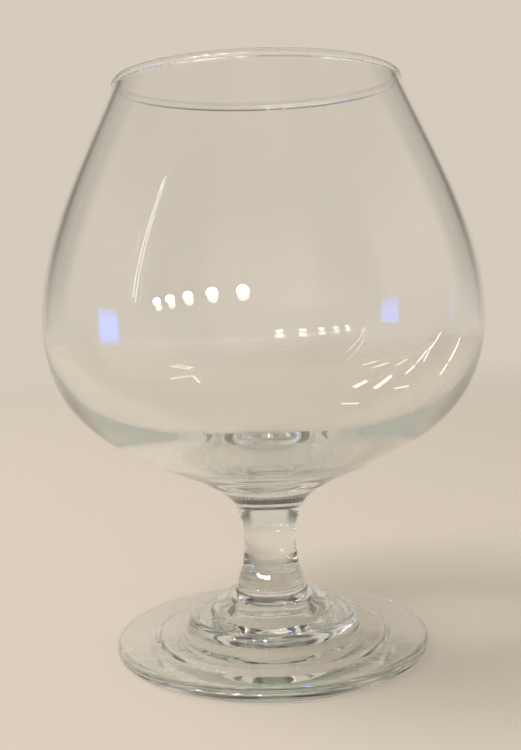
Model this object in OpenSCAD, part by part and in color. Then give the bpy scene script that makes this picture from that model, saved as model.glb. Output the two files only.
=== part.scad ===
// Brandy snifter: a blown bowl, a solid stem and a pressed foot, fused end to end.
// Each piece is a turned form on one axis, and each stands on the flat joint of the piece below.
// The origin is the centre of the plane that the glass rests on, with +Z up the axis.

/* [Bowl] */
// Height of the bowl, from its joint on the stem to the top of the mouth
bowl_h = 99.4; // [94:0.2:106]
// Widest diameter of the bowl, outside
belly_d = 103.6; // [98:0.2:110]
// Height of the widest circle above the joint on the stem
belly_h = 44.4; // [41:0.2:48]
// Thickness of the blown wall at the belly and above it
wall_t = 1.4; // [1:0.1:1.9]
// How far below the outer belly the bowl is widest inside, where the wall begins to thicken
belly_drop = 1; // [0:0.1:2]
// Thickness of the glass between the joint and the bottom of the inside
base_t = 6.8; // [5.6:0.2:8.4]
// Thickness of the glass at the hip, where the inside turns from the wall to the floor of the bowl
hip_t = 2.6; // [2.2:0.1:3.2]
// How much nearer level the inside runs there than the outside, in degrees
hip_turn = 6.5; // [4:0.5:9]
// Diameter of the circle where the outline turns from hollow to full, above the stem
turn_d = 38.8; // [34:0.2:43]
// Height of that circle above the joint
turn_h = 6.8; // [6.2:0.1:7.6]
// Lean of the outline at that circle, from upright, in degrees
turn_lean = 67.5; // [64:0.5:70]

/* [Mouth] */
// Diameter of the mouth, over the melted bead
mouth_d = 67.5; // [62:0.5:74]
// Thickness of the bead
bead_t = 2.2; // [2:0.1:2.8]
// Inward lean of the wall at the mouth, from upright, in degrees
mouth_lean = 23.5; // [18:0.5:28]

/* [Stem] */
// Height of the stem between its two joints
stem_h = 18.9; // [17:0.1:22]
// Diameter of the stem at its waist
waist_d = 12.6; // [11:0.1:14]
// Height of the waist above the joint on the foot
waist_h = 8.5; // [7.5:0.1:9.5]
// Diameter of the joint under the bowl
bowl_joint_d = 17.8; // [16:0.1:20]
// Lean of the outline at that joint, from upright, in degrees
bowl_joint_lean = 38.5; // [32:0.5:42]
// Diameter of the joint on the foot
foot_joint_d = 15.6; // [14.4:0.1:16.8]
// Inward lean of the outline at that joint, from upright, in degrees
foot_joint_lean = 21; // [17:0.5:26]

/* [Foot] */
// Diameter of the foot
foot_d = 75.8; // [71:0.2:82]
// Thickness of the foot at its rounded edge
edge_t = 3.2; // [2.6:0.1:3.8]
// Rise of the disc from its edge to the foot of the pad
disc_rise = 1.8; // [1.2:0.1:2.4]
// Diameter of the raised pad
pad_d = 41.6; // [40:0.2:44]
// Rise of the pad's side
pad_rise = 3.4; // [2.8:0.1:4.2]
// Draft of the pad's side, so that it leaves the mould
pad_draft = 0.5; // [0.3:0.1:0.8]
// Fall of the pad's top from the crown to its edge
pad_fall = 0.6; // [0.3:0.1:1]
// Diameter of the crown where it rises from the pad
crown_d = 29; // [28:0.2:32]
// Rise of the crown's side
crown_rise = 2.8; // [2.2:0.1:3.4]
// Draft of the crown's side
crown_draft = 1.4; // [1:0.1:1.9]
// Rise of the sloping top of the crown, up to the neck of the foot
slope_rise = 2.4; // [2:0.1:3]
// Height of the neck that carries the joint
neck_h = 2.5; // [2:0.1:3]
// How far the neck spreads below the joint
neck_spread = 0.4; // [0.2:0.1:0.7]

/* [Hollow under the foot] */
// Inner diameter of the flat ring that the glass rests on
rest_d = 56.4; // [54:0.2:60]
// Depth of the wide recess inside that ring
recess_h = 1.9; // [1.4:0.1:2.4]
// Diameter of the hollow under the pad
pad_hollow_d = 35.6; // [34:0.2:37]
// Height of that hollow
pad_hollow_h = 4.5; // [4:0.1:5]
// Spread of its side
pad_hollow_draft = 2.6; // [2:0.1:3.2]
// Diameter of the deep hollow under the crown, at its mouth
crown_hollow_d = 22.4; // [20:0.2:24]
// Diameter of its flat top
crown_hollow_top_d = 16.8; // [14:0.2:18]
// Height of its top
crown_hollow_h = 9.4; // [8.6:0.1:10.2]
// Spread of the side of the recess, down to the rest ring
recess_draft = 1; // [0.6:0.1:1.4]

/* [Hidden] */
$fn = 120;
curve_steps = 16;
turn_steps = 6;

// Fillets and rounded corners of the foot, from the edge up
pad_root_r = 1.2;
pad_edge_r = 1.5;
crown_root_r = 1.6;
crown_edge_r = 3;
neck_root_r = 3;
// Rounded corners of its hollows, from the axis out
crown_hollow_top_r = 2.4;
crown_hollow_mouth_r = 2;
pad_hollow_r = 2.4;
recess_root_r = 2.4;
recess_edge_r = 0.8;
rest_edge_r = 0.4;

// How far each curve keeps its first and its last direction, as shares of the distance it spans
throat_shares = [0.19, 0.29];
cup_shares = [0.44, 0.42];
shoulder_shares = [0.33, 0.27];
floor_shares = [0.39, 0.3];
hip_shares = [0.28, 0.42];
stem_top_shares = [0.34, 0.24];
stem_foot_shares = [0.29, 0.32];

// Where the hip lies, as a share of the cup's outline from the turn to the belly
hip_at = 0.51;

// Heights of the joints and of the outline's turning points above the table
upright = 0;
level = 90;
disc_top_z = edge_t + disc_rise;
pad_top_z = disc_top_z + pad_rise;
crown_foot_z = pad_top_z + pad_fall;
crown_top_z = crown_foot_z + crown_rise;
neck_z = crown_top_z + slope_rise;
foot_joint_z = neck_z + neck_h;
waist_z = foot_joint_z + waist_h;
bowl_joint_z = foot_joint_z + stem_h;
turn_z = bowl_joint_z + turn_h;
belly_z = bowl_joint_z + belly_h;
inner_belly_z = belly_z - belly_drop;
inner_bottom_z = bowl_joint_z + base_t;
mouth_z = bowl_joint_z + bowl_h;

// Points that two curves share, as [radius, height]
foot_joint = [foot_joint_d / 2, foot_joint_z];
waist = [waist_d / 2, waist_z];
bowl_joint = [bowl_joint_d / 2, bowl_joint_z];
turn = [turn_d / 2, turn_z];
belly = [belly_d / 2, belly_z];
inner_belly = [belly_d / 2 - wall_t, inner_belly_z];
inner_bottom = [0, inner_bottom_z];

// The bead is a round of glass on the end of the wall, which runs into it on both sides
bead_centre = [(mouth_d - bead_t) / 2, mouth_z - bead_t / 2];
bead_grip = acos(wall_t / bead_t);
bead_from = mouth_lean - bead_grip;
bead_to = 180 + mouth_lean + bead_grip;

// The hip is set in from the cup's outline, square to it
cup_steering = steering(turn, turn_lean, belly, upright, cup_shares);
cup_lean = lean_at(cup_steering, hip_at);
hip = point_at(cup_steering, hip_at) - hip_t * [cos(cup_lean), -sin(cup_lean)];
hip_lean = cup_lean + hip_turn;

function unit(v) = v / norm(v);

// The direction that leans outward from upright by the given angle
function lean(angle) = [sin(angle), cos(angle)];

// Points on an arc about a centre
function arc(centre, r, from, to, steps) =
    [for (i = [0:steps]) let (a = from + (to - from) * i / steps) centre + r * [cos(a), sin(a)]];

// The four points that steer a smooth curve, which leaves a and reaches b in the given directions
function steering(a, a_lean, b, b_lean, shares) =
    let (span = norm(b - a))
    [a, a + shares[0] * span * lean(a_lean), b - shares[1] * span * lean(b_lean), b];

// The point at the share t of such a curve
function point_at(v, t) =
    let (s = 1 - t)
    s * s * s * v[0] + 3 * s * s * t * v[1] + 3 * s * t * t * v[2] + t * t * t * v[3];

// The lean of the curve there, from upright
function lean_at(v, t) =
    let (s = 1 - t,
         way = s * s * (v[1] - v[0]) + 2 * s * t * (v[2] - v[1]) + t * t * (v[3] - v[2]))
    atan2(way[0], way[1]);

// Points along such a curve
function curve(a, a_lean, b, b_lean, shares) =
    let (v = steering(a, a_lean, b, b_lean, shares))
    [for (i = [0:curve_steps]) point_at(v, i / curve_steps)];

// The round that takes off the corner q between p and v, no larger than its two sides allow
function rounded(p, q, v, r) =
    let (to_p = unit(p - q),
         to_v = unit(v - q),
         half = acos(min(1, max(-1, to_p * to_v))) / 2,
         reach = min(r / tan(half), norm(p - q) / 2, norm(v - q) / 2),
         centre = q + unit(to_p + to_v) * reach / cos(half),
         first = q + to_p * reach - centre,
         last = q + to_v * reach - centre,
         from = atan2(first[1], first[0]),
         sweep = sign(cross(first, last)) * (180 - 2 * half))
    arc(centre, norm(first), from, from + sweep, turn_steps);

// A path of straight runs with each corner rounded: corners are [radius, height, round], and the
// two ends have no round
function rounded_path(corners) =
    let (at = [for (c = corners) [c[0], c[1]]], last = len(at) - 1)
    concat([at[0]],
           [for (i = [1:last - 1]) each rounded(at[i - 1], at[i], at[i + 1], corners[i][2])],
           [at[last]]);

function reversed(points) = [for (i = [len(points) - 1:-1:0]) points[i]];

// Upper side of the foot, from its edge in to the joint
foot_top = rounded_path([
    [foot_d / 2 - edge_t / 2, edge_t],
    [pad_d / 2, disc_top_z, pad_root_r],
    [pad_d / 2 - pad_draft, pad_top_z, pad_edge_r],
    [crown_d / 2, crown_foot_z, crown_root_r],
    [crown_d / 2 - crown_draft, crown_top_z, crown_edge_r],
    [foot_joint_d / 2 + neck_spread, neck_z, neck_root_r],
    foot_joint
]);

// Underside of the foot, from the axis out to the ring that it rests on
foot_underside = rounded_path([
    [0, crown_hollow_h],
    [crown_hollow_top_d / 2, crown_hollow_h, crown_hollow_top_r],
    [crown_hollow_d / 2, pad_hollow_h, crown_hollow_mouth_r],
    [pad_hollow_d / 2, pad_hollow_h, pad_hollow_r],
    [pad_hollow_d / 2 + pad_hollow_draft, recess_h, recess_root_r],
    [rest_d / 2 - recess_draft, recess_h, recess_edge_r],
    [rest_d / 2, 0, rest_edge_r],
    [foot_d / 2 - edge_t / 2, 0]
]);

foot_edge = arc([foot_d / 2 - edge_t / 2, edge_t / 2], edge_t / 2, -level, level, curve_steps);

module turned(outline) {
    rotate_extrude()
        polygon(outline);
}

// The bowl: blown, with a thick base, and melted back to a bead at the mouth
module bowl() {
    bead = arc(bead_centre, bead_t / 2, bead_from, bead_to, curve_steps);
    throat = curve(bowl_joint, bowl_joint_lean, turn, turn_lean, throat_shares);
    cup = curve(turn, turn_lean, belly, upright, cup_shares);
    shoulder = curve(belly, upright, bead[0], -mouth_lean, shoulder_shares);
    bowl_floor = curve(inner_bottom, level, hip, hip_lean, floor_shares);
    lower_wall = curve(hip, hip_lean, inner_belly, upright, hip_shares);
    inner_shoulder = curve(inner_belly, upright, bead[len(bead) - 1], -mouth_lean,
                           shoulder_shares);
    color("azure", 0.45)
        turned(concat([[0, bowl_joint_z]], throat, cup, shoulder, bead,
                      reversed(inner_shoulder), reversed(lower_wall), reversed(bowl_floor)));
}

// The stem: a solid column, waisted below its middle, that spreads to both joints
module stem() {
    lower = curve(foot_joint, -foot_joint_lean, waist, upright, stem_foot_shares);
    upper = curve(waist, upright, bowl_joint, bowl_joint_lean, stem_top_shares);
    color("lightcyan", 0.6)
        turned(concat([[0, foot_joint_z]], lower, upper, [[0, bowl_joint_z]]));
}

// The foot: a pressed disc with a pad and a crown on top, hollowed in steps underneath
module foot() {
    color("lightblue", 0.6)
        turned(concat(foot_underside, foot_edge, foot_top, [[0, foot_joint_z]]));
}

bowl();
stem();
foot();
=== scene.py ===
import math

import bpy
from mathutils import Matrix, Vector, noise


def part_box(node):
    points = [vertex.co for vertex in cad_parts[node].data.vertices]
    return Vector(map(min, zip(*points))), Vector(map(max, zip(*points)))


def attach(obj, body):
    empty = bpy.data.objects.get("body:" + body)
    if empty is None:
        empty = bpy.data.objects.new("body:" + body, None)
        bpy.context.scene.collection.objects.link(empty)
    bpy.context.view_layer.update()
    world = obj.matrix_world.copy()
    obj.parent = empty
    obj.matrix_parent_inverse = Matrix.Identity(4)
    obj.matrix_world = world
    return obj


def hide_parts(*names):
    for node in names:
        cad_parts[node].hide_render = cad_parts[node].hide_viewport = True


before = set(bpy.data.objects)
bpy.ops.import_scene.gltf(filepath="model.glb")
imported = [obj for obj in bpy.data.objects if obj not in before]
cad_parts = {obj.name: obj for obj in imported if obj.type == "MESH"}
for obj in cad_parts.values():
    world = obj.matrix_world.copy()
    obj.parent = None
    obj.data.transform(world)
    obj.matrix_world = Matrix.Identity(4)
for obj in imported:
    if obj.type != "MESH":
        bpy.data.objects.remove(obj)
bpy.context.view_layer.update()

# The bowl
# Blown in a mould from one gather of soda-lime glass, thin at the mouth and thick at the base. The
# cut edge of the mouth was melted back to a bead, and the base was fused to the stem while hot.
mm = 0.001
bowl_low, bowl_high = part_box("bowl")
joint_z = bowl_low.z
mouth_z = bowl_high.z
belly = (51.8 * mm, joint_z + 44.4 * mm)
wall_t = 1.4 * mm
belly_drop = 1 * mm
base_t = 6.8 * mm
bowl_joint = (8.9 * mm, joint_z)
bowl_joint_lean = 38.5
throat_turn = (19.4 * mm, joint_z + 6.8 * mm)
throat_lean = 67.5
mouth_r = 33.75 * mm
bead_r = 1.1 * mm
mouth_lean = 23.5
throat_shares = (0.19, 0.29)
cup_shares = (0.44, 0.42)
shoulder_shares = (0.33, 0.27)
hip = (41.61 * mm, joint_z + 23.05 * mm)
hip_lean = 49.8
floor_shares = (0.39, 0.30)
hip_shares = (0.28, 0.42)
sides_round = 360
crease_angle = 28
ripple_depth = 0.035 * mm
long_wave = 40 * mm
short_wave = 22 * mm
glass_tint = (0.986, 0.993, 0.990)
glass_index = 1.52
leaving_tint = (0.86, 0.89, 0.885)
clear_share = 0.98
most_glints = 3.5
most_passes = 10.5
lamp_wall_z = 94 * mm
lamp_wall_reach = 32 * mm
polish = 0.03
blown_polish = 0.02
dulled_polish = 0.06
melted_polish = 0.09
melted_from = mouth_z - 2.6 * mm
melted_to = mouth_z - 1.8 * mm


def curve(a, a_lean, b, b_lean, shares, steps):
    """A smooth run from a to b, leaving and arriving at the given leans from upright."""
    span = math.dist(a, b)
    lean = [(math.sin(math.radians(d)), math.cos(math.radians(d))) for d in (a_lean, b_lean)]
    p = [a[k] + shares[0] * span * lean[0][k] for k in (0, 1)]
    q = [b[k] - shares[1] * span * lean[1][k] for k in (0, 1)]
    run = []
    for i in range(steps + 1):
        t = i / steps
        s = 1 - t
        run.append(tuple(
            s ** 3 * a[k] + 3 * s * s * t * p[k] + 3 * s * t * t * q[k] + t ** 3 * b[k]
            for k in (0, 1)))
    return run


def arc(centre, r, first, last, steps):
    """Points round a centre, with the angles in degrees from level and outward."""
    run = []
    for i in range(steps + 1):
        a = math.radians(first + (last - first) * i / steps)
        run.append((centre[0] + r * math.cos(a), centre[1] + r * math.sin(a)))
    return run


def turned(name, runs, ripple=None):
    """A closed turned piece. Each run of its outline is (points, slot), from the axis round to it."""
    nothing = 0.001 * mm
    points = [runs[0][0][0]]
    slots = []
    for run, slot in runs:
        for p in run:
            if math.dist(p, points[-1]) > nothing:
                points.append(p)
                slots.append(slot)
    verts, rings = [], []
    for r, z in points:
        if r < nothing:
            rings.append([len(verts)])
            verts.append((0, 0, z))
            continue
        rings.append(range(len(verts), len(verts) + sides_round))
        for k in range(sides_round):
            a = 2 * math.pi * k / sides_round
            swell = ripple(r, z, a) if ripple else 0
            verts.append(((r + swell) * math.cos(a), (r + swell) * math.sin(a), z))
    faces, face_slots = [], []
    for low, high, slot in zip(rings, rings[1:], slots):
        for k in range(sides_round):
            j = (k + 1) % sides_round
            if len(low) == 1:
                face = (low[0], high[j], high[k])
            elif len(high) == 1:
                face = (low[k], low[j], high[0])
            else:
                face = (low[k], low[j], high[j], high[k])
            faces.append(face)
            face_slots.append(slot)
    mesh = bpy.data.meshes.new(name)
    mesh.from_pydata(verts, [], faces)
    mesh.polygons.foreach_set("use_smooth", [True] * len(faces))
    mesh.polygons.foreach_set("material_index", face_slots)
    mesh.update()
    mesh.set_sharp_from_angle(angle=math.radians(crease_angle))
    piece = bpy.data.objects.new(name, mesh)
    bpy.context.collection.objects.link(piece)
    return piece


class Nodes:
    """A node tree whose nodes are made and wired in one line each."""

    def __init__(self, tree):
        self.tree = tree
        tree.nodes.clear()

    def node(self, kind):
        return self.tree.nodes.new(kind)

    def add(self, kind, out=0, **inputs):
        """Makes a node, sets its properties and inputs, and gives one of its outputs."""
        node = self.node(kind)
        for key in [k for k in inputs if hasattr(node, k)]:
            setattr(node, key, inputs.pop(key))
        for key, value in inputs.items():
            numbered = key.startswith("in") and key[2:].isdigit()
            socket = node.inputs[int(key[2:]) if numbered else key.replace("_", " ")]
            if isinstance(value, bpy.types.NodeSocket):
                self.tree.links.new(value, socket)
            else:
                socket.default_value = value
        return node.outputs[out]

    def maths(self, operation, a, b=0.0):
        return self.add("ShaderNodeMath", operation=operation, in0=a, in1=b)

    def height(self, place):
        """The height part of a place or a direction."""
        parts = self.node("ShaderNodeSeparateXYZ")
        self.tree.links.new(place, parts.inputs[0])
        return parts.outputs["Z"]

    def end(self, kind, surface):
        self.tree.links.new(surface, self.node(kind).inputs["Surface"])


def clear_glass(name, roughness=None, bump=None, grazing=0.45):
    """Clear soda-lime glass, faintly green where it is thick, that casts a pale shadow.

    The share of a lamp's light that a surface passes falls to grazing where the light skims it.
    """
    material = bpy.data.materials.new(name)
    material.use_nodes = True
    n = Nodes(material.node_tree)
    ray = n.node("ShaderNodeLightPath").outputs
    back = n.add("ShaderNodeNewGeometry", out="Backfacing")

    # The glass itself, tinted by the length that the light runs inside it
    run = n.maths("MULTIPLY", n.maths("MULTIPLY", ray["Ray Length"], back), 1 / mm)
    kept = [n.maths("POWER", share, run) for share in glass_tint]
    body = n.node("ShaderNodeBsdfPrincipled")
    body.inputs["Transmission Weight"].default_value = 1
    body.inputs["IOR"].default_value = glass_index
    body.inputs["Roughness"].default_value = polish
    n.tree.links.new(n.add("ShaderNodeCombineColor", Red=kept[0], Green=kept[1], Blue=kept[2]),
                     body.inputs["Base Color"])
    if roughness:
        n.tree.links.new(roughness(n), body.inputs["Roughness"])
    if bump:
        n.tree.links.new(bump(n), body.inputs["Normal"])

    # Its shadow. A lamp's light that would pass straight out of the bowl's wall from inside is
    # stopped there, because it would draw each lamp a second time beside its true reflection.
    facing = n.add("ShaderNodeLayerWeight", out="Facing", Blend=0.35)
    passed = n.add("ShaderNodeMapRange", Value=facing, From_Min=0.0, From_Max=1.0,
                   To_Min=clear_share, To_Max=grazing)
    first = n.maths("MULTIPLY", n.maths("LESS_THAN", ray["Transparent Depth"], 0.5),
                    n.maths("LESS_THAN", ray["Transmission Depth"], 1.5))
    inside = n.maths("MULTIPLY", n.maths("MULTIPLY", first, back), ray["Is Shadow Ray"])
    wall = n.add("ShaderNodeMath", operation="COMPARE", in1=lamp_wall_z, in2=lamp_wall_reach,
                 in0=n.height(n.add("ShaderNodeNewGeometry", out="Position")))
    passed = n.maths("MULTIPLY", passed, n.maths("SUBTRACT", 1.0, n.maths("MULTIPLY", inside, wall)))
    through = n.add("ShaderNodeBsdfTransparent", Color=n.add(
        "ShaderNodeCombineColor", Red=passed, Green=passed, Blue=passed))
    shadow = n.maths("MAXIMUM", ray["Is Shadow Ray"], ray["Is Diffuse Ray"])
    surface = n.add("ShaderNodeMixShader", in0=shadow, in1=body.outputs[0], in2=through)

    # Light caught in the glass leaves it, a little greener, after its last reflection
    caught = n.maths("MAXIMUM", n.maths("GREATER_THAN", ray["Glossy Depth"], most_glints),
                     n.maths("GREATER_THAN", ray["Ray Depth"], most_passes))
    out = n.add("ShaderNodeBsdfTransparent", Color=(*leaving_tint, 1))
    n.end("ShaderNodeOutputMaterial",
          n.add("ShaderNodeMixShader", in0=caught, in1=surface, in2=out))
    return material


def fused_joint(name):
    """The face where two pieces are fused: the glass runs on through it, so nothing shows."""
    material = bpy.data.materials.new(name)
    material.use_nodes = True
    n = Nodes(material.node_tree)
    n.end("ShaderNodeOutputMaterial", n.add("ShaderNodeBsdfTransparent"))
    return material


def bowl_polish(n):
    """Clear glass with faint smears, and a bead that the flame left a little less clear."""
    place = n.add("ShaderNodeTexCoord", out="Object")
    patches = n.add("ShaderNodeTexNoise", Vector=place, Scale=28.0, Detail=4.0, Roughness=0.6)
    smears = n.add("ShaderNodeMapRange", Value=patches, From_Min=0.55, From_Max=0.8,
                   To_Min=blown_polish, To_Max=dulled_polish)
    melted = n.add("ShaderNodeMapRange", Value=n.height(place), From_Min=melted_from,
                   From_Max=melted_to, To_Min=blown_polish, To_Max=melted_polish)
    return n.maths("MAXIMUM", smears, melted)


def bowl_ripple(r, z, a):
    """Slow waves that blowing leaves in the wall, longer up the wall than round it."""
    p = Vector((2.2 * math.cos(a), 2.2 * math.sin(a), z / long_wave))
    q = Vector((5.0 * math.cos(a), 5.0 * math.sin(a), z / short_wave + 7))
    return ripple_depth * min(1, r / (20 * mm)) * (noise.noise(p) + 0.4 * noise.noise(q))


grip = math.degrees(math.acos(wall_t / (2 * bead_r)))
bead = arc((mouth_r - bead_r, mouth_z - bead_r), bead_r,
           mouth_lean - grip, 180 + mouth_lean + grip, 28)
inner_belly = (belly[0] - wall_t, belly[1] - belly_drop)
outside = (curve(bowl_joint, bowl_joint_lean, throat_turn, throat_lean, throat_shares, 20)
           + curve(throat_turn, throat_lean, belly, 0, cup_shares, 44)
           + curve(belly, 0, bead[0], -mouth_lean, shoulder_shares, 44) + bead)
inside = (curve((0, joint_z + base_t), 90, hip, hip_lean, floor_shares, 40)
          + curve(hip, hip_lean, inner_belly, 0, hip_shares, 32)
          + curve(inner_belly, 0, bead[-1], -mouth_lean, shoulder_shares, 44))
bowl = turned("bowl_glass", [([(0, joint_z), bowl_joint], 1), (outside, 0), (inside[::-1], 0)],
              bowl_ripple)
bowl.data.materials.append(clear_glass("blown_glass", bowl_polish))
bowl.data.materials.append(fused_joint("fused_face"))
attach(bowl, "root")
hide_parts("bowl")

# The stem
# A short solid column of the same glass, drawn out while soft, so that it is waisted below its
# middle and spreads to the joints with the bowl and the foot.
stem_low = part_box("stem")[0].z
foot_joint = (7.8 * mm, stem_low)
foot_joint_lean = 21
waist = (6.3 * mm, stem_low + 8.5 * mm)
stem_foot_shares = (0.29, 0.32)
stem_top_shares = (0.34, 0.24)


def drawn_lines(n):
    """Fine upright lines that drawing leaves in the glass."""
    place = n.add("ShaderNodeTexCoord", out="Object")
    along = n.add("ShaderNodeMapping", Vector=place, Scale=(700.0, 700.0, 60.0))
    lines = n.add("ShaderNodeTexNoise", Vector=along, Scale=1.0, Detail=2.0)
    return n.add("ShaderNodeBump", Height=lines, Strength=0.05, Distance=0.2 * mm)


stem = turned("stem_glass", [
    ([(0, stem_low), foot_joint], 1),
    (curve(foot_joint, -foot_joint_lean, waist, 0, stem_foot_shares, 24)
     + curve(waist, 0, bowl_joint, bowl_joint_lean, stem_top_shares, 28), 0),
    ([bowl_joint, (0, joint_z)], 1)])
stem.data.materials.append(clear_glass("drawn_glass", bump=drawn_lines))
stem.data.materials.append(bpy.data.materials["fused_face"])
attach(stem, "root")
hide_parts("stem")

# The foot
# A disc of the same glass, pressed in a mould: a pad and a crown rise in steps to the stem, and a
# hollow follows them underneath. It was fused to the stem while hot, and its edge fire polished.
foot_r = 37.9 * mm
edge_t = 3.2 * mm
disc_top = edge_t + 1.8 * mm
pad_r = 20.8 * mm
pad_top = disc_top + 3.4 * mm
pad_draft = 0.5 * mm
crown_r = 14.5 * mm
crown_foot = pad_top + 0.6 * mm
crown_top = crown_foot + 2.8 * mm
crown_draft = 1.4 * mm
neck_z = crown_top + 2.4 * mm
neck_spread = 0.4 * mm
rest_r = 28.2 * mm
recess_h = 1.9 * mm
pad_hollow_r = 17.8 * mm
pad_hollow_h = 4.5 * mm
pad_hollow_draft = 2.6 * mm
crown_hollow_r = 11.2 * mm
crown_hollow_top_r = 8.4 * mm
crown_hollow_h = 9.4 * mm
recess_draft = 1 * mm
softened_from = foot_r - 1.2 * mm
softened_to = foot_r - 0.5 * mm


def rounded_path(corners, longest=1.2 * mm, turns=10):
    """Straight runs with rounded corners: each corner is (radius, height, round)."""
    at = [Vector(c[:2]) for c in corners]
    path = [at[0]]

    def straight_to(end):
        start = path[-1]
        pieces = max(1, math.ceil((end - start).length / longest))
        path.extend(start + (end - start) * i / pieces for i in range(1, pieces))

    for before, here, after, corner in zip(at, at[1:], at[2:], corners[1:]):
        to_before, to_after = (before - here).normalized(), (after - here).normalized()
        half = to_before.angle(to_after) / 2
        reach = min(corner[2] / math.tan(half), (before - here).length / 2,
                    (after - here).length / 2)
        centre = here + (to_before + to_after).normalized() * reach / math.cos(half)
        first, last = here + to_before * reach - centre, here + to_after * reach - centre
        straight_to(centre + first)
        sweep = first.angle_signed(last)
        for i in range(turns + 1):
            path.append(centre + Matrix.Rotation(-sweep * i / turns, 2) @ first)
    straight_to(at[-1])
    path.append(at[-1])
    return [tuple(p) for p in path]


foot_top = rounded_path([
    (foot_r - edge_t / 2, edge_t),
    (pad_r, disc_top, 1.2 * mm),
    (pad_r - pad_draft, pad_top, 1.5 * mm),
    (crown_r, crown_foot, 1.6 * mm),
    (crown_r - crown_draft, crown_top, 3 * mm),
    (foot_joint[0] + neck_spread, neck_z, 3 * mm),
    foot_joint])
underside = rounded_path([
    (0, crown_hollow_h),
    (crown_hollow_top_r, crown_hollow_h, 2.4 * mm),
    (crown_hollow_r, pad_hollow_h, 2 * mm),
    (pad_hollow_r, pad_hollow_h, 2.4 * mm),
    (pad_hollow_r + pad_hollow_draft, recess_h, 2.4 * mm),
    (rest_r - recess_draft, recess_h, 0.8 * mm),
    (rest_r, 0, 0.4 * mm),
    (foot_r - edge_t / 2, 0)])
edge = arc((foot_r - edge_t / 2, edge_t / 2), edge_t / 2, -90, 90, 24)


def pressed_skin(n):
    """Shallow unevenness that the cool mould leaves on the glass."""
    place = n.add("ShaderNodeTexCoord", out="Object")
    skin = n.add("ShaderNodeTexNoise", Vector=place, Scale=160.0, Detail=3.0)
    return n.add("ShaderNodeBump", Height=skin, Strength=0.12, Distance=0.4 * mm)


def edge_polish(n):
    """Clear glass, a little less so round the edge that the flame has softened."""
    place = n.add("ShaderNodeTexCoord", out="Object")
    level = n.add("ShaderNodeVectorMath", operation="MULTIPLY", in0=place, in1=(1, 1, 0))
    from_axis = n.add("ShaderNodeVectorMath", out="Value", operation="LENGTH", in0=level)
    return n.add("ShaderNodeMapRange", Value=from_axis, From_Min=softened_from,
                 From_Max=softened_to, To_Min=polish, To_Max=dulled_polish)


foot = turned("foot_glass", [(underside, 0), (edge, 0), (foot_top, 0),
                             ([foot_joint, (0, stem_low)], 1)])
foot.data.materials.append(clear_glass("pressed_glass", edge_polish, pressed_skin, grazing=0.8))
foot.data.materials.append(bpy.data.materials["fused_face"])
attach(foot, "root")
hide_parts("foot")

# The floor
# A plain pale sheet under the glass, with a fine grain, that fades into a backdrop of the same
# colour. It keeps the glass's shadow.
pale = (0.67, 0.60, 0.51)
floor_r = 2.0
fade_from = 0.3
fade_to = 0.9
floor_mesh = bpy.data.meshes.new("floor")
floor_mesh.from_pydata([(floor_r * x, floor_r * y, 0) for x, y in
                        ((-1, -1), (1, -1), (1, 1), (-1, 1))], [], [(0, 1, 2, 3)])
floor = bpy.data.objects.new("floor", floor_mesh)
bpy.context.collection.objects.link(floor)
floor_material = bpy.data.materials.new("floor_sheet")
floor_material.use_nodes = True
n = Nodes(floor_material.node_tree)
place = n.add("ShaderNodeTexCoord", out="Object")
grain = n.add("ShaderNodeTexNoise", Vector=place, Scale=900.0, Detail=2.0)
sheet = n.node("ShaderNodeBsdfPrincipled")
sheet.inputs["Base Color"].default_value = (*pale, 1)
sheet.inputs["Roughness"].default_value = 0.7
sheet.inputs["Specular IOR Level"].default_value = 0.2
n.tree.links.new(n.add("ShaderNodeBump", Height=grain, Strength=0.05, Distance=0.05 * mm),
                 sheet.inputs["Normal"])
away = n.add("ShaderNodeVectorMath", out="Value", operation="LENGTH", in0=place)
fade = n.add("ShaderNodeMapRange", interpolation_type="SMOOTHSTEP", Value=away,
             From_Min=fade_from, From_Max=fade_to)
n.end("ShaderNodeOutputMaterial", n.add("ShaderNodeMixShader", in0=fade, in1=sheet.outputs[0],
                                        in2=n.add("ShaderNodeBsdfTransparent")))
floor.data.materials.append(floor_material)

# The backdrop
# The floor's colour all round. The glass sees it dimmer overhead and in four darker upright bands,
# which draw its edges.
band_count = 4
band_light = 0.3
flank_light = 0.96
overhead_light = 0.25
world = bpy.data.worlds.new("studio")
bpy.context.scene.world = world
world.use_nodes = True
n = Nodes(world.node_tree)
way = n.add("ShaderNodeTexCoord", out="Generated")
parts = n.node("ShaderNodeSeparateXYZ")
n.tree.links.new(way, parts.inputs[0])
around = n.maths("ARCTAN2", parts.outputs["X"], parts.outputs["Y"])
bands = n.add("ShaderNodeMapRange", interpolation_type="SMOOTHSTEP",
              Value=n.maths("COSINE", n.maths("MULTIPLY", around, band_count)),
              From_Min=-0.75, From_Max=0.05, To_Min=band_light, To_Max=1.0)
above = n.add("ShaderNodeMapRange", interpolation_type="SMOOTHSTEP", Value=parts.outputs["Z"],
              From_Min=-0.1, From_Max=0.25, To_Min=0.0, To_Max=1.0)
flank = n.add("ShaderNodeMix", data_type="FLOAT", in0=above, in2=flank_light, in3=bands)
overhead = n.add("ShaderNodeMapRange", interpolation_type="SMOOTHSTEP", Value=parts.outputs["Z"],
                 From_Min=0.38, From_Max=0.75, To_Min=1.0, To_Max=overhead_light)
seen = n.add("ShaderNodeMix", data_type="FLOAT", in3=1.0, in2=n.maths("MULTIPLY", flank, overhead),
             in0=n.node("ShaderNodeLightPath").outputs["Is Camera Ray"])
n.end("ShaderNodeOutputWorld", n.add("ShaderNodeBackground", Color=(*pale, 1), Strength=seen))

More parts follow.
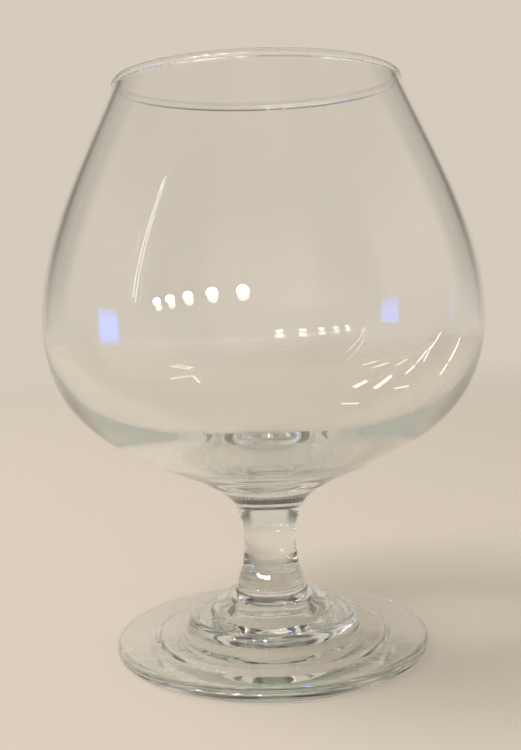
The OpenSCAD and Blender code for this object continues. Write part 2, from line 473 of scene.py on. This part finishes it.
# The lamps
# A soft box overhead lights the glass and the floor. A row of five lamps, a blue window and thin
# strips of light only glint in the glass.
soft_white = (1.0, 0.99, 0.97)
warm_white = (1.0, 0.97, 0.92)
window_blue = (0.02, 0.18, 1.0)
softbox_size, softbox_strength = (1.35, 1.35), 10
lamp_count, lamp_size, lamp_strength, lamp_step = 5, (0.2, 0.155), 200, 0.54
window_size, window_strength = (0.53, 0.62), 6
strip_size, strip_strength, strip_away = (0.013, 0.7), 8, 1.2
glint_strength = 12
middle = Vector((0, 0, 80 * mm))


def lamp(name, place, size, colour, strength, shape="RECTANGLE"):
    """A flat lamp of the given width and height and radiance, facing the glass."""
    data = bpy.data.lights.new(name, "AREA")
    data.shape = shape
    data.size, data.size_y = size
    area = size[0] * size[1] * (math.pi / 4 if shape == "ELLIPSE" else 1)
    data.energy = strength * area * math.pi
    data.color = colour
    light = bpy.data.objects.new(name, data)
    bpy.context.collection.objects.link(light)
    light.location = place
    light.rotation_mode = "QUATERNION"
    light.rotation_quaternion = (middle - Vector(place)).to_track_quat("-Z", "Y")
    light.visible_camera = False
    return light


softbox = lamp("overhead_softbox", (-1.2, -0.3, 1.95), softbox_size, soft_white,
               softbox_strength)
softbox.visible_glossy = False
softbox.visible_transmission = False

for i in range(lamp_count):
    spot = lamp(f"row_lamp_{i + 1}", (-0.33 - lamp_step * i, -1.93, 0.585), lamp_size,
                warm_white, lamp_strength, "ELLIPSE")
    spot.visible_diffuse = False

# The window is on only for light that has glinted, so it isn't seen straight through the glass
window = lamp("left_window", (-2.41, -0.37, -0.02), window_size, window_blue, window_strength)
window.visible_diffuse = False
window.data.use_nodes = True
n = Nodes(window.data.node_tree)
glinted = n.maths("MINIMUM", n.node("ShaderNodeLightPath").outputs["Glossy Depth"], 1.0)
n.end("ShaderNodeOutputLight", n.add("ShaderNodeEmission", Strength=glinted))

tilt, turn = math.radians(26.5), math.radians(-65)
way = Vector((math.sin(turn) * math.cos(tilt), -math.cos(turn) * math.cos(tilt), math.sin(tilt)))
strip = lamp("left_strip", middle + way * strip_away, strip_size, warm_white, strip_strength)
strip.visible_diffuse = False

# Broken glints low on the bowl: strips of light just over the floor, as (end, end, width) in mm
glints = (((153, -60), (191, -55), 4), ((206, -55), (294, -42), 5), ((306, -32), (613, 46), 7),
          ((218, -39), (288, -34), 4), ((178, 17), (228, 40), 3), ((245, 49), (496, 194), 4),
          ((137, -138), (166, -132), 5), ((140, -118), (175, -107), 4), ((172, -90), (212, -81), 4),
          ((79, -91), (102, -94), 6), ((94, -73), (135, -77), 6), ((109, -53), (125, -39), 3),
          ((53, -71), (65, -62), 2), ((-147, -172), (-108, -173), 3), ((-149, -160), (-108, -164), 3),
          ((-112, -119), (-90, -144), 3), ((-90, -144), (-71, -126), 3))
for i, (near, far, width) in enumerate(glints):
    near, far = Vector((*near, 1)) * mm, Vector((*far, 1)) * mm
    glint = lamp(f"glint_{i + 1}", (near + far) / 2, ((far - near).length, width * mm),
                 warm_white, glint_strength)
    along, down = (far - near).normalized(), Vector((0, 0, -1))
    facing_up = Matrix((along, down.cross(along), down)).transposed()
    glint.rotation_quaternion = facing_up.to_quaternion()
    glint.visible_diffuse = False
    glint.visible_transmission = False

# The camera
# Close to the glass, a little above the level of its belly, and looking slightly down.
lens_pixels = 1006
frame_long = 750
distance = 240.6 * mm
eye_z = 87.5 * mm
pan, pitch, roll = 0.0046, 0.0901, -0.0311
camera_data = bpy.data.cameras.new("camera")
camera = bpy.data.objects.new("camera", camera_data)
bpy.context.collection.objects.link(camera)
camera_data.sensor_width = 36
camera_data.lens = camera_data.sensor_width * lens_pixels / frame_long
camera_data.clip_start = 0.01
upright = Matrix(((1, 0, 0), (0, 0, -1), (0, 1, 0)))
turn = (Matrix.Rotation(roll, 3, "Z") @ Matrix.Rotation(pitch, 3, "X")
        @ Matrix.Rotation(pan, 3, "Y") @ upright)
axes = Matrix((turn[0], -turn[1], -turn[2])).transposed()
camera.matrix_world = Matrix.Translation((0, -distance, eye_z)) @ axes.to_4x4()
bpy.context.scene.camera = camera
bpy.context.scene.view_settings.view_transform = "Standard"
